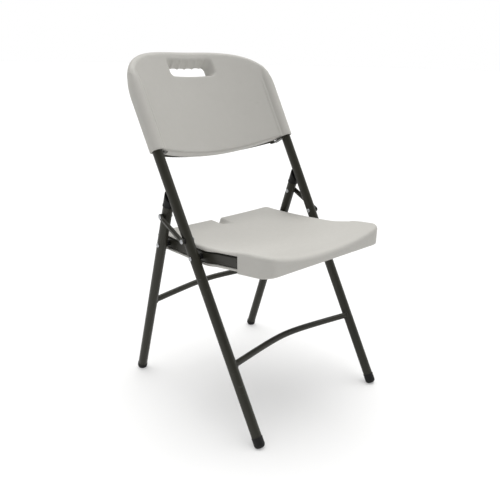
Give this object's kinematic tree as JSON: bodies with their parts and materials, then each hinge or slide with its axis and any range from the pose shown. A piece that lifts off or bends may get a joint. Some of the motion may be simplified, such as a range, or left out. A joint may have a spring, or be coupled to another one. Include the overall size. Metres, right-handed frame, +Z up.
{
  "type": "folding chair",
  "caption": "Folding chair with a leaning tube frame, a contoured moulded plastic seat and a curved plastic back with a hand slot; it folds flat on side links.",
  "frame": {"origin": "on the floor, under the middle of the open chair's box", "axes": "+Z up, +Y to the rear, +X to the sitter's left"},
  "size_m": [0.474, 0.5688, 0.8512],
  "materials": {
    "panel_plastic": "matt blow-moulded polyethylene with a fine cast texture",
    "frame_steel": "satin powder coat, dark warm grey",
    "black_plastic": "satin moulded plastic",
    "zinc": "bright zinc plate"
  },
  "bodies": {
    "front_frame": {"back_brace": "frame_steel", "back_screw_lower_left": "zinc", "back_screw_lower_right": "zinc", "back_screw_upper_left": "zinc", "back_screw_upper_right": "zinc", "back_shell": "panel_plastic", "brace_screw_left": "zinc", "brace_screw_right": "zinc", "front_foot_left": "black_plastic", "front_foot_right": "black_plastic", "front_stretcher": "frame_steel", "front_tube_left": "frame_steel", "front_tube_right": "frame_steel", "link_front_rivet_left": "zinc", "link_front_rivet_right": "zinc", "link_front_spacer_left": "black_plastic", "link_front_spacer_right": "black_plastic", "seat_pivot_rivet_left": "zinc", "seat_pivot_rivet_right": "zinc"},
    "seat": {"rear_pivot_rivet_left": "zinc", "rear_pivot_rivet_right": "zinc", "seat_crossbar_front": "frame_steel", "seat_crossbar_rear": "frame_steel", "seat_front_spacer_left": "black_plastic", "seat_front_spacer_right": "black_plastic", "seat_panel": "panel_plastic", "seat_rail_left": "frame_steel", "seat_rail_right": "frame_steel", "seat_rear_spacer_left": "black_plastic", "seat_rear_spacer_right": "black_plastic", "seat_screw_front_left": "zinc", "seat_screw_front_right": "zinc", "seat_screw_rear_left": "zinc", "seat_screw_rear_right": "zinc"},
    "rear_frame": {"link_rear_stub_left": "zinc", "link_rear_stub_right": "zinc", "rear_cap_left": "black_plastic", "rear_cap_right": "black_plastic", "rear_foot_left": "black_plastic", "rear_foot_right": "black_plastic", "rear_stretcher": "frame_steel", "rear_tube_left": "frame_steel", "rear_tube_right": "frame_steel"},
    "left_link": {"link_left": "frame_steel", "link_rear_rivet_left": "zinc", "link_rear_spacer_left": "black_plastic"},
    "right_link": {"link_rear_rivet_right": "zinc", "link_rear_spacer_right": "black_plastic", "link_right": "frame_steel"}
  },
  "joints": [
    {"name": "seat_fold", "type": "hinge", "parent": "front_frame", "child": "seat", "pos_m": [0, -0.03995, 0.4105], "axis": [-1, 0, 0], "range_deg": [0, 107]},
    {"name": "rear_frame_fold", "type": "hinge", "parent": "seat", "child": "rear_frame", "pos_m": [0, 0.09368, 0.4105], "axis": [1, 0, 0], "range_deg": [0, 60.7]},
    {"name": "left_link_turn", "type": "hinge", "parent": "front_frame", "child": "left_link", "pos_m": [0, -0.01795, 0.4486], "axis": [-1, 0, 0], "range_deg": [0, 129.5]},
    {"name": "right_link_turn", "type": "hinge", "parent": "front_frame", "child": "right_link", "pos_m": [0, -0.01795, 0.4486], "axis": [-1, 0, 0], "range_deg": [0, 129.5]}
  ],
  "couplings": [
    {"joint": "rear_frame_fold", "follows": "seat_fold", "ratio": 0.56233},
    {"joint": "left_link_turn", "follows": "seat_fold", "ratio": 1.2052},
    {"joint": "right_link_turn", "follows": "seat_fold", "ratio": 1.2052}
  ]
}
